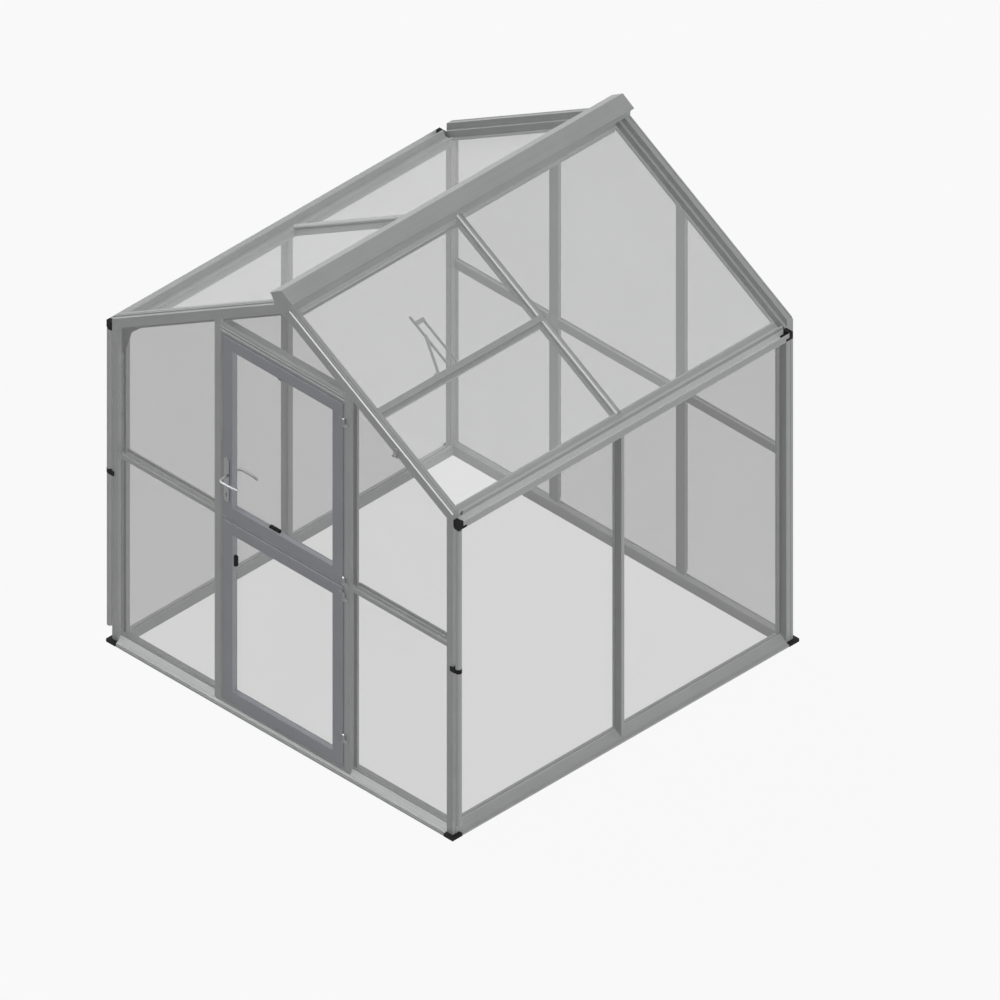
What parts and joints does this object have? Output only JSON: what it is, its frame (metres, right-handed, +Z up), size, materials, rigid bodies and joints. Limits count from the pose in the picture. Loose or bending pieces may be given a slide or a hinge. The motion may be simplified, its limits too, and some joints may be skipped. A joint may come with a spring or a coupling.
{
  "type": "greenhouse",
  "caption": "Square gable-roofed greenhouse of aluminium glazing bars and translucent polycarbonate panels, with a split door, a roof vent, gutters and downpipes.",
  "frame": {"origin": "ground level under the middle of the greenhouse", "axes": "+X along the door gable towards the hinge side of the door, +Y from the door gable into the house, +Z up"},
  "size_m": [2.16, 2.1555, 2.38],
  "materials": {
    "aluminium": "mill finish, satin",
    "door_frame": "satin grey",
    "black_plastic": "matte",
    "polycarbonate": "translucent twin-wall sheet",
    "bright_steel": "brushed"
  },
  "bodies": {
    "house": {"front_sill": "aluminium", "back_sill": "aluminium", "side_sills": "aluminium", "base_corner_joints": "black_plastic", "front_left_post": "aluminium", "front_right_post": "aluminium", "back_left_post": "aluminium", "back_right_post": "aluminium", "side_wall_studs": "aluminium", "door_jambs": "aluminium", "door_stops": "aluminium", "door_lintel": "aluminium", "back_gable_studs": "aluminium", "front_gable_rails": "aluminium", "back_gable_rails": "aluminium", "eave_beams": "aluminium", "gutter_floors": "aluminium", "gutter_walls": "aluminium", "gutter_end_caps": "black_plastic", "downpipes": "aluminium", "pipe_clips": "black_plastic", "front_rafters": "aluminium", "middle_rafters": "aluminium", "back_rafters": "aluminium", "ridge_beam": "aluminium", "ridge_cap": "aluminium", "vent_crossbar": "aluminium", "vent_rails": "aluminium", "vent_panel": "polycarbonate", "vent_opener": "aluminium", "gusset_plate": "aluminium", "side_wall_panels": "polycarbonate", "front_gable_panels": "polycarbonate", "back_gable_panels": "polycarbonate", "roof_panels": "polycarbonate", "hinge_brackets": "bright_steel", "door_catch": "aluminium"},
    "upper_door": {"upper_door_frame": "door_frame", "upper_door_pane": "polycarbonate", "handle_plates": "bright_steel", "upper_door_latches": "black_plastic"},
    "lower_door": {"lower_door_frame": "door_frame", "lower_door_pane": "polycarbonate", "lower_door_latch": "black_plastic"},
    "handle": {"door_handle": "bright_steel"}
  },
  "joints": [
    {"name": "upper_door_hinge", "type": "hinge", "parent": "house", "child": "upper_door", "pos_m": [0.38, -1.047, 1.455], "axis": [0, 0, 1], "range_deg": [0, 165]},
    {"name": "lower_door_hinge", "type": "hinge", "parent": "house", "child": "lower_door", "pos_m": [0.38, -1.047, 0.579], "axis": [0, 0, 1], "range_deg": [0, 165]},
    {"name": "handle_turn", "type": "hinge", "parent": "upper_door", "child": "handle", "pos_m": [-0.34, -1.025, 1.225], "axis": [0, 1, 0], "range_deg": [0, 40], "stiffness_Nm_per_rad": 1.2}
  ]
}
